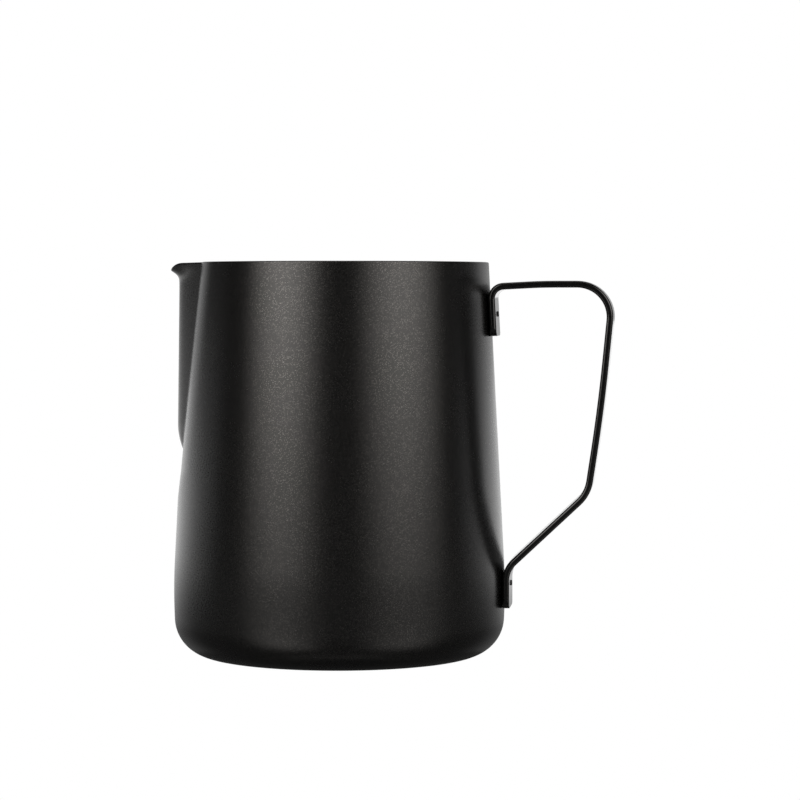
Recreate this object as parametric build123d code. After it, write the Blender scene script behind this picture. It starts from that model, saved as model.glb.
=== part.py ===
from build123d import *
import math
import os

# A milk frothing pitcher: a drawn steel cup with a pressed pouring spout, and a handle bent from
# flat bar and spot-welded to it. Lengths are in millimetres. The cup's axis is Z and its foot
# stands on z = 0. The handle points along +X and the spout along -X.

# Cup
cup_height = 110.0
rim_radius = 41.8
cone_angle = 3.0
belly_arc = 173.0
belly_height = 18.2
corner_radius = 10.7
wall = 0.8
panel_radius = 29.0
panel_rise = 0.8
panel_slope = 2.5

# Front of the cup, pressed flat where the spout grows out of it. The flat leans back and runs out
# on the cone. Its edges are rounded more the further they lie to the side, and fade out below.
flat_set_back = 5.4
flat_end_share = 0.40
flat_rounding = 0.9
crease_rounding = 6.5
crease_reach = 16.0
flat_fade = 14.0
front_start = 6.0
front_sector = 50.0

# Spout: a rounded keel whose ridge stands nearly upright and closes into the flat at its lower end
ridge_reach = 3.4
ridge_lean = 0.014
ridge_turn_share = 0.591
ridge_turn_radius = 19.0
flank_slope = 1.12
nose_rounding = 5.5
valley_rounding = 0.8

# Pouring lip: the top of the ridge rolls outwards and its edge drops towards the tip
lip_roll = 4.0
lip_depth = 2.65
lip_sharpness = 0.65
lip_width = 4.2
lip_start = 43.8
lip_arc = 5.0
lip_drop = 0.13
lip_run = 8.0

# Handle: one length of flat bar, a tab at each end and the grip between them. It touches the cup
# along the tabs, which sit this little way into the curve of the wall.
bar_width = 16.0
bar_thickness = 1.9
bar_edge = 0.7
tab_corner = 2.5
seat = 0.12
upper_tab_end = 20.5
upper_bend = 3.4
top_run_drop = 6.15
top_run_crest = 15.2
top_run_rise = 3.0
crest_arc = 150.0
grip_reach = 34.95
grip_corner = 9.1
upper_lean = 5.6
lower_lean = 8.6
grip_middle_share = 0.638
grip_arc = 480.0
knee_share = 0.419
knee_bend = 10.0
strut_angle = 43.2
lower_bend = 7.0
lower_tab_end = 14.0

# Spot welds: a button of fused metal through each tab that bites a little way into the cup's wall.
# Its rounded outer end stands a little proud of the tab.
weld_radius = 0.75
weld_bite = 0.35
weld_rise = 0.38
weld_rounding = 0.2
upper_weld_drop = 14.5
lower_weld_height = 20.6

slant = math.radians(cone_angle)
cone_pull = (belly_arc - (cup_height - belly_height) * math.sin(slant)) / math.cos(slant)
belly_radius = rim_radius + belly_arc - cone_pull
flat_end = cup_height * flat_end_share
front_low = flat_end - front_start
ridge_turn = cup_height * ridge_turn_share


def cone_radius(z):
    """Outer radius of the straight upper part of the cup."""
    return rim_radius + math.tan(slant) * (cup_height - z)


def cup_profile(inset):
    """Half section of the cup, each surface moved inwards by the inset, as a face to spin about Z."""
    belly_centre = belly_radius - belly_arc
    arc = belly_arc - inset
    corner = corner_radius - inset
    corner_rise = belly_height - corner_radius
    corner_x = belly_centre + math.sqrt((belly_arc - corner_radius) ** 2 - corner_rise**2)
    turn = math.atan2(corner_rise, corner_x - belly_centre)
    rim_x = cone_radius(cup_height) - inset / math.cos(slant)
    on_cone = (belly_centre + arc * math.cos(slant), belly_height + arc * math.sin(slant))
    on_corner = (corner_x + corner * math.cos(turn), corner_radius - corner * math.sin(turn))
    half = -turn / 2 + slant / 2
    on_belly = (belly_centre + arc * math.cos(half), belly_height + arc * math.sin(half))
    under = -turn / 2 - math.pi / 4
    under_corner = (corner_x + corner * math.cos(under), corner_radius + corner * math.sin(under))
    foot = (corner_x, inset)
    step_x = panel_radius - inset * 0.4
    line = [
        Line((0, inset + panel_rise), (step_x - panel_slope, inset + panel_rise)),
        Line((step_x - panel_slope, inset + panel_rise), (step_x, inset)),
        Line((step_x, inset), foot),
        ThreePointArc(foot, under_corner, on_corner),
        ThreePointArc(on_corner, on_belly, on_cone),
        Line(on_cone, (rim_x, cup_height)),
        Line((rim_x, cup_height), (0, cup_height)),
        Line((0, cup_height), (0, inset + panel_rise)),
    ]
    flat_shape = make_face(Wire(line))
    return Plane.XZ * flat_shape


def blend_low(a, b, size):
    """The lower of two values, rounded where they cross."""
    near = max(size - abs(a - b), 0) / size
    return min(a, b) - near * near * size / 4


def blend_high(a, b, size):
    """The higher of two values, rounded where they cross."""
    return -blend_low(-a, -b, size)


def front_reach(y, z, inset):
    """How far the front wall stands from the axis, at a distance y to the side and a height z."""
    across = inset / math.cos(slant)
    cone = math.sqrt((cone_radius(z) - across) ** 2 - y * y)
    flat_rim = rim_radius - flat_set_back
    flat_lean = (cone_radius(flat_end) - flat_rim) / (cup_height - flat_end)
    flat = flat_rim + flat_lean * (cup_height - z) - inset
    side = (y / crease_reach) ** 2
    rounding = flat_rounding + crease_rounding * side / (1 + side)
    fade = min((z - front_low) / flat_fade, 1)
    front = blend_low(cone, flat, max(rounding * fade, 0.01))
    drop = max(ridge_turn - z, 0)
    turned = ridge_turn_radius - math.sqrt(max(ridge_turn_radius**2 - drop**2, 0))
    ridge = rim_radius + ridge_reach + ridge_lean * (cup_height - z) - turned - inset
    roll_height = cup_height - lip_depth + inset
    roll = lip_roll / (1 + math.exp((roll_height - z) / lip_sharpness))
    ridge = ridge + roll * math.exp(-((y / lip_width) ** 2))
    nose = nose_rounding - 0.4 * inset
    keel = ridge - flank_slope * (math.hypot(y, nose) - nose)
    return blend_high(front, keel, valley_rounding)


def front_section(z):
    """A level slice through the front wall, closed by two straight ends that point at the axis."""
    ends = math.radians(front_sector)
    sides = []
    for inset in (0.0, wall):
        radius = cone_radius(z) - inset / math.cos(slant)
        edge_y = radius * math.sin(ends)
        steps = 48
        points = []
        for i in range(steps + 1):
            y = edge_y * math.sin((2 * i / steps - 1) * math.pi / 2.6) / math.sin(math.pi / 2.6)
            points.append((-front_reach(y, z, inset), y, z))
        points[0] = (-radius * math.cos(ends), -edge_y, z)
        points[-1] = (-radius * math.cos(ends), edge_y, z)
        start = (-math.sin(ends), math.cos(ends), 0)
        finish = (math.sin(ends), math.cos(ends), 0)
        sides.append(Spline(*points, tangents=[start, finish]))
    outer, inner = sides
    return Wire([outer, Line(outer @ 1, inner @ 1), inner, Line(inner @ 0, outer @ 0)])


def rim_trim():
    """The block above the rim, which is level, dips a hair at the spout and drops round the lip."""
    lip_z = cup_height - lip_drop
    end_x = -lip_start - lip_arc
    end_z = lip_z - lip_arc
    run_x = lip_run - lip_start
    over = cup_height + 5
    mid = math.sin(math.pi / 4)
    middle = (-lip_start - lip_arc * mid, end_z + lip_arc * mid)
    far_x = end_x - 1
    bend = [
        Line((run_x, over), (run_x, cup_height)),
        Line((run_x, cup_height), (-lip_start, lip_z)),
        ThreePointArc((-lip_start, lip_z), middle, (end_x, end_z)),
        Line((end_x, end_z), (far_x, end_z)),
        Line((far_x, end_z), (far_x, over)),
        Line((far_x, over), (run_x, over)),
    ]
    return extrude(Plane.XZ * make_face(Wire(bend)), 2 * rim_radius, both=True)


def make_cup():
    """The cup: a spun shell whose front sector is replaced by the pressed flat and the spout."""
    shell = revolve(cup_profile(0.0), Axis.Z) - revolve(cup_profile(wall), Axis.Z)
    ends = math.radians(front_sector)
    far = 2 * rim_radius
    left = (-far * math.cos(ends), -far * math.sin(ends))
    right = (-far * math.cos(ends), far * math.sin(ends))
    wedge = make_face(Polyline((0, 0), right, (-2 * far, 0), left, close=True))
    shell -= Pos(0, 0, front_low) * extrude(wedge, cup_height)
    roll_at = cup_height - lip_depth
    levels = [front_low + step for step in (0, 2, 4, 6, 8, 10.5, 13)]
    levels += [ridge_turn - 12.5 + step for step in range(12)]
    levels += [ridge_turn, (ridge_turn + roll_at) / 2]
    rolled = (-4.0, -3.0, -2.3, -1.7, -1.2, -0.8, -0.4, 0.0, 0.4, 0.8, 1.2, 1.7, 2.2)
    levels += [roll_at + step for step in rolled] + [cup_height]
    front = Solid.make_loft([front_section(z) for z in levels], ruled=True)
    return shell + front - rim_trim()


def rounded_path(points, bends):
    """A path through the points in the XZ plane, with each corner rounded to its own radius."""
    edges = []
    start = Vector(*points[0])
    for i, bend in enumerate(bends):
        corner = Vector(*points[i + 1])
        back = (Vector(*points[i]) - corner).normalized()
        ahead = (Vector(*points[i + 2]) - corner).normalized()
        half = math.acos(max(-1, min(1, back.dot(ahead)))) / 2
        reach = bend / math.tan(half)
        middle = (back + ahead).normalized()
        top = corner + middle * (bend / math.sin(half) - bend)
        arc_start = corner + back * reach
        arc_end = corner + ahead * reach
        edges.append(Line(start, arc_start))
        edges.append(ThreePointArc(arc_start, top, arc_end))
        start = arc_end
    edges.append(Line(start, Vector(*points[-1])))
    return Wire(edges)


def tab_corners(x, end):
    """The two scraps cut off the corners of a tab that ends at this height."""
    scraps = Part()
    for side in (-1, 1):
        centre_y = side * (bar_width / 2 - tab_corner)
        scrap_y = centre_y + side * (tab_corner + 1) / 2
        block = Pos(x, scrap_y, end + tab_corner / 2 - 0.5) * Box(8, tab_corner + 1, tab_corner + 1)
        round_end = Pos(x, centre_y, end + tab_corner) * Rot(0, 90, 0) * Cylinder(tab_corner, 9)
        scraps += block - round_end
    return scraps


def make_handle(cup):
    """The handle: flat bar swept round its bends, then seated on the cup."""
    middle = bar_thickness / 2 - seat
    tab_low = cup_height - upper_tab_end
    tab_top = cup_height - top_run_drop - 0.75
    off_cone = middle / math.cos(slant)
    top_z = cup_height - top_run_drop
    crest_x = rim_radius + top_run_crest
    rise = math.tan(math.radians(top_run_rise))
    upper_x = cone_radius(tab_top) + off_cone
    upper_corner = (upper_x, 0, top_z - rise * (crest_x - upper_x))
    grip_top_x = rim_radius + grip_reach
    grip_middle_z = cup_height * grip_middle_share
    grip_middle_x = grip_top_x - math.tan(math.radians(upper_lean)) * (top_z - grip_middle_z)
    knee_z = cup_height * knee_share
    knee_x = grip_middle_x - math.tan(math.radians(lower_lean)) * (grip_middle_z - knee_z)
    lower_x = belly_radius + middle
    strut_drop = math.tan(math.radians(strut_angle)) * (knee_x - lower_x)
    points = [
        (cone_radius(tab_low) + off_cone, 0, tab_low),
        upper_corner,
        (crest_x, 0, top_z),
        (grip_top_x, 0, top_z),
        (grip_middle_x, 0, grip_middle_z),
        (knee_x, 0, knee_z),
        (lower_x, 0, knee_z - strut_drop),
        (lower_x, 0, lower_tab_end),
    ]
    path = rounded_path(points, [upper_bend, crest_arc, grip_corner, grip_arc, knee_bend, lower_bend])
    start = Plane(path @ 0, x_dir=(0, 1, 0), z_dir=path % 0)
    bar = sweep(start * RectangleRounded(bar_width, bar_thickness, bar_edge), path)
    bar -= tab_corners(upper_x, tab_low)
    bar -= tab_corners(lower_x, lower_tab_end)
    return bar - cup


def make_weld(wall_x, height, lean):
    """A weld button whose axis leans from level by the given angle."""
    depth = bar_thickness - seat + weld_rise + weld_bite
    button = Pos(depth / 2 - weld_bite, 0, 0) * Rot(0, 90, 0) * Cylinder(weld_radius, depth)
    button = fillet(button.edges().group_by(Axis.X)[-1], weld_rounding)
    return Pos(wall_x, 0, height) * Rot(0, -lean, 0) * button


cup = make_cup()
handle = make_handle(cup)
upper_height = cup_height - upper_weld_drop
upper_weld = make_weld(cone_radius(upper_height), upper_height, cone_angle)
lower_weld = make_weld(belly_radius, lower_weld_height, 0)
cup = cup - upper_weld - lower_weld
handle = handle - upper_weld - lower_weld

os.makedirs("parts", exist_ok=True)
parts = {"cup": cup, "handle": handle, "upper_weld": upper_weld, "lower_weld": lower_weld}
for name, solid in parts.items():
    export_step(solid, f"parts/{name}.step")
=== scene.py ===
import math
import bpy
from mathutils import Matrix, Vector


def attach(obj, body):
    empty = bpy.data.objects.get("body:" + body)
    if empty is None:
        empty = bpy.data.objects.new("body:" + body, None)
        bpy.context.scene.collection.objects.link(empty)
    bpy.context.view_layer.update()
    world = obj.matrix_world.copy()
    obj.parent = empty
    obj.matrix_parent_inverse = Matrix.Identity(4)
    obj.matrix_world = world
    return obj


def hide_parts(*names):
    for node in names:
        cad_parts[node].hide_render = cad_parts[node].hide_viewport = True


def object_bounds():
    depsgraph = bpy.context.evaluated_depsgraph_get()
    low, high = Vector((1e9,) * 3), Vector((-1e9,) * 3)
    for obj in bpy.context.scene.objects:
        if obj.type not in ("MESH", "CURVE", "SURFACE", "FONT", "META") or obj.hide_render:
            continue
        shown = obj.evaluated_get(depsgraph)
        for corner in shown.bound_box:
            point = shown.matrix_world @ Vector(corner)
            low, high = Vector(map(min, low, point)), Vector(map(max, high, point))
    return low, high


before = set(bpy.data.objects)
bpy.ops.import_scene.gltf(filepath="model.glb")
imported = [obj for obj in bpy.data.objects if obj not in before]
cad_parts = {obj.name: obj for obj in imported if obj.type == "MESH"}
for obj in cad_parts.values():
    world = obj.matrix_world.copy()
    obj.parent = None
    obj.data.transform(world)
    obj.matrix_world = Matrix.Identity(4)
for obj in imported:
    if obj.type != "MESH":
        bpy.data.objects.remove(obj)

cadLow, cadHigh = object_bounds()
mm = 0.001
print("frame loaded:", sorted(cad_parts))


# small helpers for node trees

def addNode(tree, kind, at, **settings):
    node = tree.nodes.new(kind)
    node.location = at
    for key, value in settings.items():
        setattr(node, key, value)
    return node


def emptyTree(owner):
    owner.use_nodes = True
    owner.node_tree.nodes.clear()
    return owner.node_tree


def newGroup(name, inputs, outputs):
    group = bpy.data.node_groups.new(name, "ShaderNodeTree")
    for label, value in inputs.items():
        socket = group.interface.new_socket(name=label, in_out="INPUT", socket_type="NodeSocketFloat")
        socket.default_value = value
    for label in outputs:
        group.interface.new_socket(name=label, in_out="OUTPUT", socket_type="NodeSocketFloat")
    return group, addNode(group, "NodeGroupInput", (-900, 0)), addNode(group, "NodeGroupOutput", (700, 0))


def mathNode(tree, operation, at, first, second=None):
    node = addNode(tree, "ShaderNodeMath", at, operation=operation)
    for slot, value in enumerate((first, second)):
        if isinstance(value, (int, float)):
            node.inputs[slot].default_value = value
        elif value is not None:
            tree.links.new(value, node.inputs[slot])
    return node.outputs[0]


def rampNode(tree, at, source, ends, values=(0.0, 1.0), kind="LINEAR"):
    node = addNode(tree, "ShaderNodeMapRange", at, interpolation_type=kind)
    for label, value in zip(("From Min", "From Max", "To Min", "To Max"), (*ends, *values)):
        node.inputs[label].default_value = value
    tree.links.new(source, node.inputs["Value"])
    return node.outputs[0]


# sprayed coating: fine grain, scattered metal flecks and slow cloudiness, shared by every black finish

grainShape = {
    "grainDetail": 2.0,
    "grainRoughness": 0.65,
    "toneEnds": (0.34, 0.66),  # grain darker or lighter than this counts as fully so
    "fleckCore": (0.15, 0.5),  # a fleck is whole to the first share of its cell and gone at the second
    "cloudDetail": 3.0,
}


def buildCoatGrain():
    group, start, end = newGroup(
        "coatGrain",
        {"Grain Scale": 2600.0, "Fleck Scale": 2200.0, "Fleck Share": 0.1, "Cloud Scale": 60.0},
        ("Tone", "Fleck", "Cloud", "Height"),
    )
    links = group.links
    place = addNode(group, "ShaderNodeTexCoord", (-900, 260)).outputs["Object"]

    grain = addNode(group, "ShaderNodeTexNoise", (-600, 300))
    grain.inputs["Detail"].default_value = grainShape["grainDetail"]
    grain.inputs["Roughness"].default_value = grainShape["grainRoughness"]
    links.new(place, grain.inputs["Vector"])
    links.new(start.outputs["Grain Scale"], grain.inputs["Scale"])
    tone = rampNode(group, (-200, 300), grain.outputs["Fac"], grainShape["toneEnds"])

    cells = addNode(group, "ShaderNodeTexVoronoi", (-600, 0))
    links.new(place, cells.inputs["Vector"])
    links.new(start.outputs["Fleck Scale"], cells.inputs["Scale"])
    pick = addNode(group, "ShaderNodeSeparateColor", (-400, -60))
    links.new(cells.outputs["Color"], pick.inputs[0])
    least = mathNode(group, "SUBTRACT", (-400, -220), 1.0, start.outputs["Fleck Share"])
    chosen = mathNode(group, "GREATER_THAN", (-200, -60), pick.outputs[0], least)
    core = rampNode(group, (-200, 120), cells.outputs["Distance"], grainShape["fleckCore"], (1.0, 0.0))
    fleck = mathNode(group, "MULTIPLY", (0, 0), chosen, core)

    cloud = addNode(group, "ShaderNodeTexNoise", (-600, -340))
    cloud.inputs["Detail"].default_value = grainShape["cloudDetail"]
    links.new(place, cloud.inputs["Vector"])
    links.new(start.outputs["Cloud Scale"], cloud.inputs["Scale"])

    links.new(tone, end.inputs["Tone"])
    links.new(fleck, end.inputs["Fleck"])
    links.new(cloud.outputs["Fac"], end.inputs["Cloud"])
    links.new(grain.outputs["Fac"], end.inputs["Height"])
    return group


coatGrain = buildCoatGrain()

coating = {  # what every finish shares
    "metalGain": 3.0,  # a fleck is bare metal well before its core
    "cloudWeight": 0.7,
    "toneWeight": 0.3,
    "sheenEnds": (0.3, 0.7),
}


def coatedFinish(name, look):
    material = bpy.data.materials.new(name)
    tree = emptyTree(material)
    links = tree.links
    output = addNode(tree, "ShaderNodeOutputMaterial", (700, 0))
    shader = addNode(tree, "ShaderNodeBsdfPrincipled", (400, 0))
    links.new(shader.outputs["BSDF"], output.inputs["Surface"])
    coat = addNode(tree, "ShaderNodeGroup", (-700, 0), node_tree=coatGrain)
    for label in ("Grain Scale", "Fleck Scale", "Fleck Share", "Cloud Scale"):
        coat.inputs[label].default_value = look[label]

    # body colour drifts between two near-blacks, and the flecks lift it
    tone = addNode(tree, "ShaderNodeMix", (-400, 200), data_type="RGBA")
    tone.inputs["A"].default_value = (*look["deep"], 1)
    tone.inputs["B"].default_value = (*look["pale"], 1)
    links.new(coat.outputs["Tone"], tone.inputs["Factor"])
    lift = addNode(tree, "ShaderNodeMix", (-150, 200), data_type="RGBA")
    lift.inputs["B"].default_value = (*look["fleck"], 1)
    links.new(coat.outputs["Fleck"], lift.inputs["Factor"])
    links.new(tone.outputs["Result"], lift.inputs["A"])
    links.new(lift.outputs["Result"], shader.inputs["Base Color"])
    metal = mathNode(tree, "MULTIPLY", (-150, 400), coat.outputs["Fleck"], coating["metalGain"])
    metal.node.use_clamp = True
    links.new(metal, shader.inputs["Metallic"])

    # the sheen is a little uneven, from cloud to cloud and from grain to grain
    slow = mathNode(tree, "MULTIPLY", (-550, -60), coat.outputs["Cloud"], coating["cloudWeight"])
    fine = mathNode(tree, "MULTIPLY", (-550, -220), coat.outputs["Tone"], coating["toneWeight"])
    uneven = mathNode(tree, "ADD", (-400, -60), slow, fine)
    sheen = rampNode(tree, (-200, -60), uneven, coating["sheenEnds"], look["roughness"])
    links.new(sheen, shader.inputs["Roughness"])

    bump = addNode(tree, "ShaderNodeBump", (100, -300))
    bump.inputs["Strength"].default_value = look["bump"]
    bump.inputs["Distance"].default_value = look["bumpDepth"]
    links.new(coat.outputs["Height"], bump.inputs["Height"])
    links.new(bump.outputs["Normal"], shader.inputs["Normal"])
    shader.inputs["IOR"].default_value = look["ior"]
    return material


cupLook = {
    "deep": (0.0003, 0.00029, 0.00028),
    "pale": (0.0042, 0.0041, 0.0039),
    "fleck": (0.124, 0.1213, 0.1185),
    "roughness": (0.25, 0.28),
    "ior": 1.5,
    "bump": 0.3,
    "bumpDepth": 0.00003,
    "Grain Scale": 2200.0,
    "Fleck Scale": 2900.0,
    "Fleck Share": 0.75,
    "Cloud Scale": 45.0,
}
handleLook = {
    "deep": (0.0015, 0.0015, 0.0015),
    "pale": (0.004, 0.004, 0.004),
    "fleck": (0.03, 0.03, 0.03),
    "roughness": (0.12, 0.16),
    "ior": 1.5,
    "bump": 0.2,
    "bumpDepth": 0.00001,
    "Grain Scale": 1800.0,
    "Fleck Scale": 2300.0,
    "Fleck Share": 0.02,
    "Cloud Scale": 80.0,
}
weldLook = {
    "deep": (0.004, 0.004, 0.004),
    "pale": (0.012, 0.012, 0.012),
    "fleck": (0.05, 0.05, 0.05),
    "roughness": (0.45, 0.6),
    "ior": 1.5,
    "bump": 0.6,
    "bumpDepth": 0.00005,
    "Grain Scale": 3000.0,
    "Fleck Scale": 2600.0,
    "Fleck Share": 0.08,
    "Cloud Scale": 300.0,
}
cupFinish = coatedFinish("satinBlackCoating", cupLook)
handleFinish = coatedFinish("smoothBlackCoating", handleLook)
weldFinish = coatedFinish("weldMark", weldLook)
print("finishes ready")


# the drawn cup, in millimetres

cupShape = {
    "height": 110.0,
    "rimRadius": 41.8,
    "coneAngle": 3.0,
    "bellyArc": 173.0,
    "bellyHeight": 18.2,
    "cornerRadius": 10.7,
    "wall": 0.8,
    "innerTighter": 0.4,  # share of the wall by which small roundings are tighter inside
    "ease": 0.9998,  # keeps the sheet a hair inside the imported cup
    "panelRadius": 29.0,
    "panelRise": 0.8,
    "panelRun": 3.0,
    "flatSetBack": 5.4,
    "flatEnd": 44.0,
    "flatRounding": 0.9,
    "leastRounding": 0.01,
    "creaseRounding": 6.5,
    "creaseReach": 16.0,
    "flatFade": 14.0,
    "frontStart": 6.0,  # the pressed front begins this far below the flat's end
    "frontSector": 50.0,
    "ridgeReach": 3.4,
    "ridgeLean": 0.014,
    "ridgeTurn": 65.01,
    "ridgeTurnRadius": 19.0,
    "flankSlope": 1.12,
    "noseRounding": 5.5,
    "valleyRounding": 0.8,
    "lipRoll": 4.0,
    "lipDepth": 2.65,
    "lipSharpness": 0.65,
    "lipWidth": 4.2,
    "lipStart": 43.8,
    "lipArc": 5.0,
    "lipPart": 0.999,  # how much of the quarter circle is used
    "lipDrop": 0.13,
    "lipRun": 8.0,
    "rimRounding": 0.42,  # share of the wall
    "rimBulge": 0.98,
}
cupMesh = {  # how finely the cup is drawn
    "frontSteps": 166,
    "backSteps": 140,
    "noseCrowding": 0.45,  # columns stand closer together at the nose
    "panelShares": (0.25, 0.5, 0.72, 0.86),
    "panelSteps": 8,
    "footShares": (0.25, 0.6, 0.9),
    "cornerSteps": 24,
    "bellySteps": 16,
    "coneHeights": (30.0, 34.0),
    "turnSteps": 44,
    "turnSpare": 3.0,  # the close rows go on this far above the ridge's turn
    "ridgeSteps": 14,
    "lipSteps": 38,
    "lipSpare": 4.0,  # and the lip's rows begin this far below its roll
    "rimSteps": 8,
    "rimTries": 60,
    "rimPace": 0.4,
    "runLength": 0.05,  # how far below the rim the sheet's direction is taken
}
slant = math.radians(cupShape["coneAngle"])


def coneRadius(z):
    return cupShape["rimRadius"] + math.tan(slant) * (cupShape["height"] - z)


def blendLow(a, b, size):  # the lower of two values, rounded where they cross
    near = max(size - abs(a - b), 0) / size
    return min(a, b) - near * near * size / 4


def frontReach(y, z, inset):  # how far the front wall stands from the axis
    s = cupShape
    cone = math.sqrt((coneRadius(z) - inset / math.cos(slant)) ** 2 - y * y)
    flatRim = s["rimRadius"] - s["flatSetBack"]
    flatLean = (coneRadius(s["flatEnd"]) - flatRim) / (s["height"] - s["flatEnd"])
    flat = flatRim + flatLean * (s["height"] - z) - inset
    side = (y / s["creaseReach"]) ** 2
    rounding = s["flatRounding"] + s["creaseRounding"] * side / (1 + side)
    fade = min((z - s["flatEnd"] + s["frontStart"]) / s["flatFade"], 1)  # sharpens where the flat runs out
    front = blendLow(cone, flat, max(rounding * fade, s["leastRounding"]))
    drop = min(max(s["ridgeTurn"] - z, 0), s["ridgeTurnRadius"])
    turned = s["ridgeTurnRadius"] - math.sqrt(s["ridgeTurnRadius"] ** 2 - drop**2)
    ridge = s["rimRadius"] + s["ridgeReach"] + s["ridgeLean"] * (s["height"] - z) - turned - inset
    roll = s["lipRoll"] / (1 + math.exp((s["height"] - s["lipDepth"] + inset - z) / s["lipSharpness"]))
    ridge += roll * math.exp(-((y / s["lipWidth"]) ** 2))
    nose = s["noseRounding"] - s["innerTighter"] * inset
    keel = ridge - s["flankSlope"] * (math.hypot(y, nose) - nose)
    return -blendLow(-front, -keel, s["valleyRounding"])


def rimHeight(x):  # the rim is level, dips a hair at the spout and drops round the lip
    s = cupShape
    arcStart = -s["lipStart"]
    if x > arcStart + s["lipRun"]:
        return s["height"]
    if x > arcStart:
        return s["height"] - s["lipDrop"] * (1 - (x - arcStart) / s["lipRun"])
    past = min(arcStart - x, s["lipArc"] * s["lipPart"])
    return s["height"] - s["lipDrop"] - s["lipArc"] + math.sqrt(s["lipArc"] ** 2 - past**2)


def lowerProfile(inset):  # radius and height up the foot, corner and belly, to the start of the cone
    s, fineness = cupShape, cupMesh
    arc, corner = s["bellyArc"] - inset, s["cornerRadius"] - inset
    rise = s["height"] - s["bellyHeight"]
    bellyRadius = s["rimRadius"] + s["bellyArc"] - (s["bellyArc"] - rise * math.sin(slant)) / math.cos(slant)
    centre = bellyRadius - s["bellyArc"]
    cornerRise = s["bellyHeight"] - s["cornerRadius"]
    cornerX = centre + math.sqrt((s["bellyArc"] - s["cornerRadius"]) ** 2 - cornerRise**2)
    turn = math.atan2(cornerRise, cornerX - centre)
    stepX = s["panelRadius"] - inset * s["innerTighter"]
    points = [(stepX * share, inset + s["panelRise"]) for share in fineness["panelShares"]]
    for step in range(fineness["panelSteps"] + 1):  # the panel's slope is one soft wave
        share = step / fineness["panelSteps"]
        wave = (1 + math.cos(math.pi * share)) / 2
        points.append((stepX - s["panelRun"] * (1 - share), inset + s["panelRise"] * wave))
    points += [(stepX + (cornerX - stepX) * share, inset) for share in fineness["footShares"]]
    for step in range(fineness["cornerSteps"] + 1):
        angle = -math.pi / 2 + (math.pi / 2 - turn) * step / fineness["cornerSteps"]
        points.append((cornerX + corner * math.cos(angle), s["cornerRadius"] + corner * math.sin(angle)))
    for step in range(1, fineness["bellySteps"] + 1):
        angle = -turn + (turn + slant) * step / fineness["bellySteps"]
        points.append((centre + arc * math.cos(angle), s["bellyHeight"] + arc * math.sin(angle)))
    return points


def cupColumns():  # the cup's upright lines, each a share of the front or an angle at the back
    front, back, crowding = cupMesh["frontSteps"], cupMesh["backSteps"], cupMesh["noseCrowding"]
    ends = math.radians(cupShape["frontSector"])
    columns = []
    for i in range(front + 1):
        u = 2 * i / front - 1
        columns.append(("front", (1 - crowding) * u + crowding * u**3))
    for i in range(1, back):
        columns.append(("back", ends + (2 * math.pi - 2 * ends) * i / back))
    return columns


def spun(column, radius, z):  # a point of the round lower part
    kind, value = column
    if kind == "front":
        y = radius * math.sin(math.radians(cupShape["frontSector"])) * value
        return (-math.sqrt(max(radius * radius - y * y, 0)), y, z)
    return (-radius * math.cos(value), radius * math.sin(value), z)


def pressed(column, z, inset):  # a point of the upper part, with the flat and the spout in its front
    radius = coneRadius(z) - inset / math.cos(slant)
    if column[0] == "front":
        y = radius * math.sin(math.radians(cupShape["frontSector"])) * column[1]
        return (-frontReach(y, z, inset), y, z)
    return spun(column, radius, z)


def sheetEdge(column, inset):  # where this side of the sheet meets the rim, and which way it runs
    top = cupShape["height"]
    for attempt in range(cupMesh["rimTries"]):
        top += cupMesh["rimPace"] * (rimHeight(pressed(column, top, inset)[0]) - top)
    below = top - cupMesh["runLength"]
    run = Vector(pressed(column, top, inset)) - Vector(pressed(column, below, inset))
    return top, run.normalized()


def wallRows(columns, inset):
    s, fineness = cupShape, cupMesh
    flatStart = s["flatEnd"] - s["frontStart"]
    turnEnd = s["ridgeTurn"] + fineness["turnSpare"]
    rollStart = s["height"] - s["lipDepth"] - fineness["lipSpare"]
    turnSteps, ridgeSteps, lipSteps = fineness["turnSteps"], fineness["ridgeSteps"], fineness["lipSteps"]
    heights = [*fineness["coneHeights"], flatStart]
    heights += [flatStart + (turnEnd - flatStart) * i / turnSteps for i in range(1, turnSteps + 1)]
    heights += [turnEnd + (rollStart - turnEnd) * i / ridgeSteps for i in range(1, ridgeSteps + 1)]
    rows = [[spun(c, r, z) for c in columns] for r, z in lowerProfile(inset)]
    rows += [[pressed(c, z, inset) for c in columns] for z in heights]
    edges = [sheetEdge(c, inset) for c in columns]
    rounding = s["wall"] * s["rimRounding"]
    for i in range(1, lipSteps + 1):
        row = []
        for column, (top, run) in zip(columns, edges):
            z = rollStart + (top - rounding * run.z - rollStart) * i / lipSteps
            row.append(pressed(column, z, inset))
        rows.append(row)
    return rows, [run for top, run in edges]


def rimRows(outer, inner, runs):  # the half-round edge between the two sides of the sheet
    rows = []
    bulge = cupShape["wall"] * cupShape["rimRounding"] * cupShape["rimBulge"]
    for step in range(1, cupMesh["rimSteps"]):
        angle = math.pi * step / cupMesh["rimSteps"]
        row = []
        for a, b, run in zip(outer, inner, runs):
            a, b = Vector(a), Vector(b)
            middle, half = (a + b) / 2, (a - b) / 2
            row.append(tuple(middle + half * math.cos(angle) + run * math.sin(angle) * bulge))
        rows.append(row)
    return rows


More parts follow.
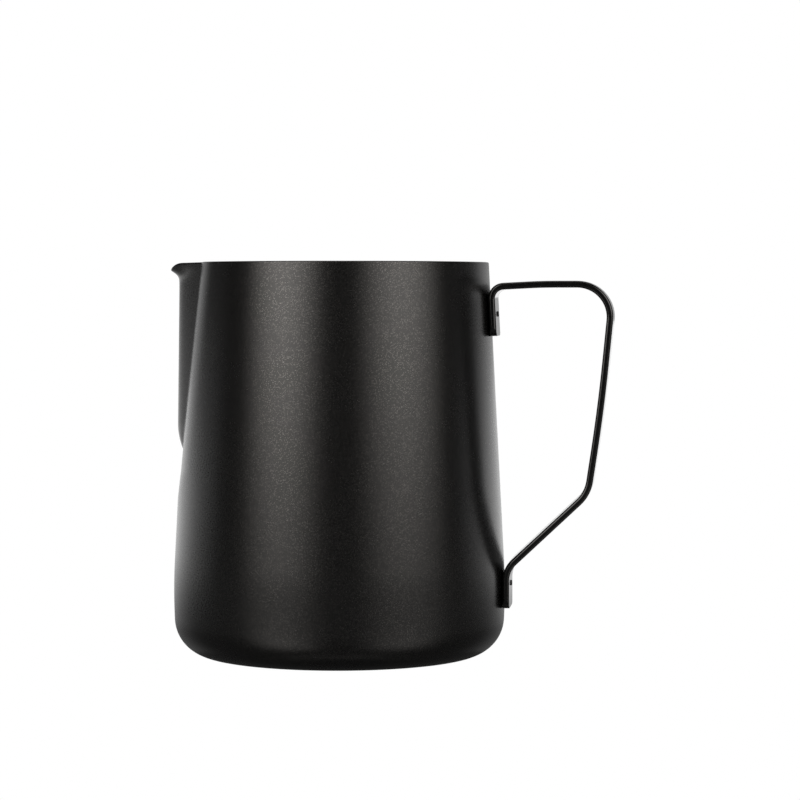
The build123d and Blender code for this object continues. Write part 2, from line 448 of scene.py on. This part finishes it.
def buildCup():
    s = cupShape
    columns = cupColumns()
    outer, runs = wallRows(columns, 0.0)
    inner = wallRows(columns, s["wall"])[0]
    rows = outer + rimRows(outer[-1], inner[-1], runs) + inner[::-1]

    count = len(columns)
    ease = s["ease"]
    vertices = [Vector((x * ease, y * ease, z)) * mm for row in rows for x, y, z in row]
    faces = []
    for r in range(len(rows) - 1):
        for c in range(count):
            n = (c + 1) % count
            faces.append((r * count + c, (r + 1) * count + c, (r + 1) * count + n, r * count + n))
    for row, flip, z in ((0, False, s["panelRise"]), (len(rows) - 1, True, s["panelRise"] + s["wall"])):
        hub = len(vertices)
        vertices.append(Vector((0, 0, z)) * mm)
        for c in range(count):
            corner = (row * count + c, row * count + (c + 1) % count)
            faces.append((hub, *corner[::-1]) if flip else (hub, *corner))
    mesh = bpy.data.meshes.new("cupShell")
    mesh.from_pydata(vertices, [], faces)
    mesh.validate()
    mesh.polygons.foreach_set("use_smooth", [True] * len(mesh.polygons))
    mesh.materials.append(cupFinish)
    cup = bpy.data.objects.new("cupShell", mesh)
    bpy.context.collection.objects.link(cup)
    return cup


cupShell = buildCup()
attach(cupShell, "root")
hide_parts("cup")
print("cup built:", len(cupShell.data.vertices), "vertices")

for nodeName, finish in {"handle": handleFinish, "upper_weld": weldFinish, "lower_weld": weldFinish}.items():
    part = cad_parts[nodeName]
    part.data.materials.clear()
    part.data.materials.append(finish)
print("handle and welds finished")


# camera, and the places that are set out from its side

shot = {
    "turn": 7.0,  # degrees the camera stands round towards the handle
    "distance": 0.8,
    "height": 0.1013,
    "pan": 0.0212,
    "tilt": 0.0373,
    "lens": 128.47,
    "clipStart": 0.01,
}


def aroundCamera(angle, distance, height):  # a place round the axis from the camera, positive to the right
    turn = math.radians(shot["turn"] + angle)
    return Vector((math.sin(turn) * distance, -math.cos(turn) * distance, height))


camera = bpy.data.objects.new("camera", bpy.data.cameras.new("camera"))
bpy.context.collection.objects.link(camera)
bpy.context.scene.camera = camera
camera.data.lens = shot["lens"]
camera.data.clip_start = shot["clipStart"]
camera.location = aroundCamera(0, shot["distance"], shot["height"])
look = Vector((
    math.sin(shot["pan"]) * math.cos(shot["tilt"]),
    math.cos(shot["pan"]) * math.cos(shot["tilt"]),
    -math.sin(shot["tilt"]),
))
look.rotate(Matrix.Rotation(math.radians(shot["turn"]), 3, "Z"))
camera.rotation_euler = look.to_track_quat("-Z", "Y").to_euler()
print("camera placed")


# soft light

warmth = (1.0, 0.962, 0.922)
softboxes = {
    "softboxLeft": {"angle": -41.5, "width": 0.96, "strength": 4.8},
    "softboxRight": {"angle": 46.5, "width": 1.14, "strength": 3.75},
}
panelShape = {
    "distance": 0.75,
    "middle": 0.4,
    "height": 0.8,
    "sideFade": 2.0,
    "lowEdge": (-0.02, 0.24),  # heights over which the lower edge fades in
    "lowEnd": 0.08,
}
topBox = {"size": 0.9, "height": 1.3, "power": 3.0}


def sheetMesh(name, corners):  # one flat face
    mesh = bpy.data.meshes.new(name)
    mesh.from_pydata(corners, [], [(0, 1, 2, 3)])
    return mesh


def panelCloth(name, width, strength):  # a hot middle that fades to the sides, and a soft lower edge
    s = panelShape
    cloth = bpy.data.materials.new(name)
    tree = emptyTree(cloth)
    output = addNode(tree, "ShaderNodeOutputMaterial", (800, 0))
    lamp = addNode(tree, "ShaderNodeEmission", (600, 0))
    lamp.inputs["Color"].default_value = (*warmth, 1)
    place = addNode(tree, "ShaderNodeTexCoord", (-800, 0))
    parts = addNode(tree, "ShaderNodeSeparateXYZ", (-600, 0))
    tree.links.new(place.outputs["Object"], parts.inputs[0])
    across = mathNode(tree, "MULTIPLY", (-400, 100), parts.outputs["X"], math.pi / width)
    side = mathNode(tree, "COSINE", (-200, 100), across)
    bell = mathNode(tree, "POWER", (0, 100), side, s["sideFade"])
    ends = [height - s["middle"] for height in s["lowEdge"]]
    low = rampNode(tree, (-200, -150), parts.outputs["Z"], ends, (s["lowEnd"], 1.0), "SMOOTHSTEP")
    faded = mathNode(tree, "MULTIPLY", (200, 0), bell, low)
    power = mathNode(tree, "MULTIPLY", (400, 0), faded, strength)
    tree.links.new(power, lamp.inputs["Strength"])
    tree.links.new(lamp.outputs[0], output.inputs["Surface"])
    return cloth


def addPanel(name, angle, width, strength):
    w, h = width / 2, panelShape["height"] / 2
    mesh = sheetMesh(name, [(-w, 0, -h), (w, 0, -h), (w, 0, h), (-w, 0, h)])
    panel = bpy.data.objects.new(name, mesh)
    panel.location = aroundCamera(angle, panelShape["distance"], panelShape["middle"])
    panel.rotation_euler.z = math.radians(shot["turn"] + angle)
    panel.visible_camera = False
    bpy.context.collection.objects.link(panel)
    mesh.materials.append(panelCloth(name + "Cloth", width, strength))


for name, box in softboxes.items():
    addPanel(name, **box)

topLamp = bpy.data.lights.new("softboxTop", "AREA")
topLamp.shape = "RECTANGLE"
topLamp.size, topLamp.size_y = topBox["size"], topBox["size"]
topLamp.energy = topBox["power"]
topLamp.color = warmth
topHolder = bpy.data.objects.new("softboxTop", topLamp)
topHolder.location = (0, 0, topBox["height"])
bpy.context.collection.objects.link(topHolder)
print("lights placed")


# floor: plain white to the camera; to reflections it glows as painted light, brighter behind the cup, with
# painted shade dimming it near the foot

floorLook = {
    "reach": 6.0,
    "white": 1.0,
    "behind": (-0.05, 0.45),
    # painted light: how strongly the floor glows to reflections, from in front of the cup to behind it
    "paintedGlowBehind": (0.1, 1.2),
    # painted shade: within these distances of the foot the floor's glow to reflections dims, down to the
    # share below
    "foot": (0.035, 0.1),
    "paintedFootShade": (0.4, 1.0),
    "gloss": 0.2,
    "glossRoughness": 0.25,
}


def paintFloor():
    paint = bpy.data.materials.new("paleFloor")
    tree = emptyTree(paint)
    links = tree.links
    output = addNode(tree, "ShaderNodeOutputMaterial", (600, 0))
    seen = addNode(tree, "ShaderNodeLightPath", (0, 300))
    white = addNode(tree, "ShaderNodeEmission", (0, 0))
    white.inputs["Strength"].default_value = floorLook["white"]
    spot = addNode(tree, "ShaderNodeTexCoord", (-800, -200))
    away = addNode(tree, "ShaderNodeVectorMath", (-600, -200), operation="DOT_PRODUCT")
    away.inputs[1].default_value = -aroundCamera(0, 1, 0)
    links.new(spot.outputs["Object"], away.inputs[0])
    # painted light: the floor glows to reflections, brighter behind the cup
    paintedLightBehind = rampNode(
        tree, (-400, -200), away.outputs["Value"], floorLook["behind"], floorLook["paintedGlowBehind"], "SMOOTHSTEP"
    )
    near = addNode(tree, "ShaderNodeVectorMath", (-600, -500), operation="LENGTH")
    links.new(spot.outputs["Object"], near.inputs[0])
    # painted shade: the floor's glow to reflections dims near the cup's foot
    foot = rampNode(
        tree, (-400, -500), near.outputs["Value"], floorLook["foot"], floorLook["paintedFootShade"], "SMOOTHSTEP"
    )
    glow = addNode(tree, "ShaderNodeEmission", (0, -200))
    links.new(mathNode(tree, "MULTIPLY", (-200, -300), paintedLightBehind, foot), glow.inputs["Strength"])
    gloss = addNode(tree, "ShaderNodeBsdfGlossy", (0, -400))
    gloss.inputs["Color"].default_value = (floorLook["gloss"],) * 3 + (1,)
    gloss.inputs["Roughness"].default_value = floorLook["glossRoughness"]
    both = addNode(tree, "ShaderNodeAddShader", (150, -300))
    links.new(glow.outputs[0], both.inputs[0])
    links.new(gloss.outputs[0], both.inputs[1])
    choose = addNode(tree, "ShaderNodeMixShader", (300, 0))
    links.new(seen.outputs["Is Camera Ray"], choose.inputs["Fac"])
    links.new(both.outputs[0], choose.inputs[1])
    links.new(white.outputs[0], choose.inputs[2])
    links.new(choose.outputs[0], output.inputs["Surface"])
    return paint


reach = floorLook["reach"]
floorCorners = [(-reach, -reach, 0), (reach, -reach, 0), (reach, reach, 0), (-reach, reach, 0)]
floorMesh = sheetMesh("floor", floorCorners)
floor = bpy.data.objects.new("floor", floorMesh)
floor.location.z = cadLow.z
bpy.context.collection.objects.link(floor)
floorMesh.materials.append(paintFloor())


# surround: white to the camera, and to reflections dark except straight behind the cup

surroundLook = {
    "behind": (0.47, 0.8),
    "glow": (0.03, 0.56),
    "white": 1.0,
}


def paintSurround():
    world = bpy.data.worlds.new("studioSurround")
    bpy.context.scene.world = world
    tree = emptyTree(world)
    links = tree.links
    output = addNode(tree, "ShaderNodeOutputWorld", (900, 0))
    facing = addNode(tree, "ShaderNodeTexCoord", (-600, 0))
    behind = addNode(tree, "ShaderNodeVectorMath", (-400, 0), operation="DOT_PRODUCT")
    behind.inputs[1].default_value = -aroundCamera(0, 1, 0)
    links.new(facing.outputs["Generated"], behind.inputs[0])
    wash = rampNode(
        tree, (-200, 0), behind.outputs["Value"], surroundLook["behind"], surroundLook["glow"], "SMOOTHSTEP"
    )
    seen = addNode(tree, "ShaderNodeLightPath", (-200, 300))
    level = addNode(tree, "ShaderNodeMix", (100, 0), data_type="FLOAT")
    links.new(seen.outputs["Is Camera Ray"], level.inputs["Factor"])
    links.new(wash, level.inputs["A"])
    level.inputs["B"].default_value = surroundLook["white"]
    glow = addNode(tree, "ShaderNodeBackground", (600, 0))
    glow.inputs["Color"].default_value = (1, 1, 1, 1)
    links.new(level.outputs["Result"], glow.inputs["Strength"])
    links.new(glow.outputs[0], output.inputs["Surface"])


paintSurround()
bpy.context.scene.view_settings.view_transform = "Standard"
print("studio ready")
